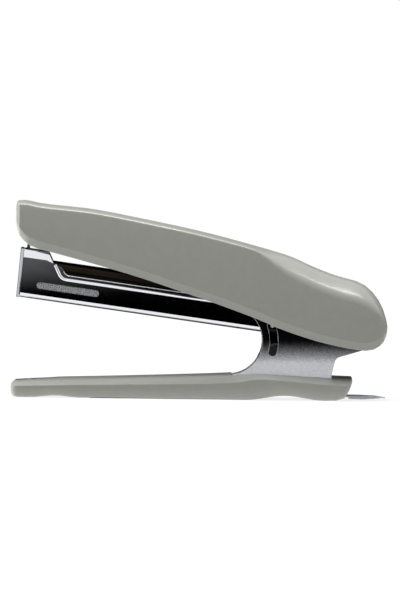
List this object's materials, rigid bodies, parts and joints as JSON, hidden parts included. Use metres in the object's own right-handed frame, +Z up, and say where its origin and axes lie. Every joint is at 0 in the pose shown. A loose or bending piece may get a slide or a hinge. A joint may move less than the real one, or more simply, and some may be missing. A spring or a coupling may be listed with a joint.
{
  "type": "long reach stapler",
  "caption": "Long reach desk stapler with a grey handle and base, a chrome magazine, a steel frame with a curved throat and a sliding staple remover.",
  "frame": {"origin": "centre of the bounding box's bottom, on the desk", "axes": "+X to the tail, +Z up, front of the stapler along -X"},
  "size_m": [0.157, 0.034, 0.0824],
  "materials": {
    "grey_plastic": "gloss, warm grey",
    "dark_plastic": "satin, dark grey",
    "chrome": "polished",
    "satin_steel": "fine brushed",
    "blued_steel": "blued, dark",
    "spring_steel": "spring steel, bare",
    "zinc": "zinc plated",
    "staple_wire": "galvanised wire",
    "nylon": "natural nylon",
    "rubber": "matte black"
  },
  "bodies": {
    "base": {"base_shell": "grey_plastic", "base_sole": "dark_plastic", "sole_screws": "zinc", "grip_pads": "rubber", "anvil_plate": "satin_steel", "anvil_rivets": "zinc", "frame_bracket": "satin_steel", "frame_screws": "zinc", "lift_spring": "spring_steel", "lift_spring_rivet": "zinc", "main_axle": "zinc", "axle_clip": "spring_steel"},
    "remover": {"remover_tongue": "satin_steel", "remover_tab": "dark_plastic"},
    "magazine": {"magazine_housing": "chrome", "nose_plate": "chrome", "staple_tray": "chrome", "tray_rivets": "zinc", "staple_strip": "staple_wire", "guide_rod": "zinc", "rod_bracket": "dark_plastic", "pusher_spring": "spring_steel", "stop_stud": "zinc"},
    "pusher": {"pusher": "dark_plastic"},
    "cover": {"cover_rail": "blued_steel", "spacer_bush": "nylon", "return_spring": "spring_steel", "return_spring_rivets": "zinc"},
    "handle": {"driver_arm": "satin_steel", "driver_blade": "spring_steel", "blade_rivets": "zinc", "arm_screws": "zinc", "handle_shell": "grey_plastic"}
  },
  "joints": [
    {"name": "magazine_pivot", "type": "hinge", "parent": "base", "child": "magazine", "pos_m": [0.065, 0, 0.0295], "axis": [0, -1, 0], "range_deg": [0, 13.8], "stiffness_Nm_per_rad": 1.5, "springref_deg": -14.32, "deforming": ["lift_spring"]},
    {"name": "loading_pivot", "type": "hinge", "parent": "magazine", "child": "cover", "pos_m": [0.065, 0, 0.0295], "axis": [0, 1, 0], "range_deg": [0, 65]},
    {"name": "handle_press", "type": "hinge", "parent": "cover", "child": "handle", "pos_m": [0.065, 0, 0.0295], "axis": [0, -1, 0], "range_deg": [0, 4.5], "stiffness_Nm_per_rad": 2, "springref_deg": -5.73, "deforming": ["return_spring"]},
    {"name": "pusher_slide", "type": "slide", "parent": "magazine", "child": "pusher", "axis": [0.9912, 0, -0.1323], "range_m": [0, 0.044], "stiffness_N_per_m": 30, "springref_m": -0.05, "deforming": ["pusher_spring"]},
    {"name": "remover_slide", "type": "slide", "parent": "base", "child": "remover", "axis": [-1, 0, 0], "range_m": [0, 0.015]}
  ]
}
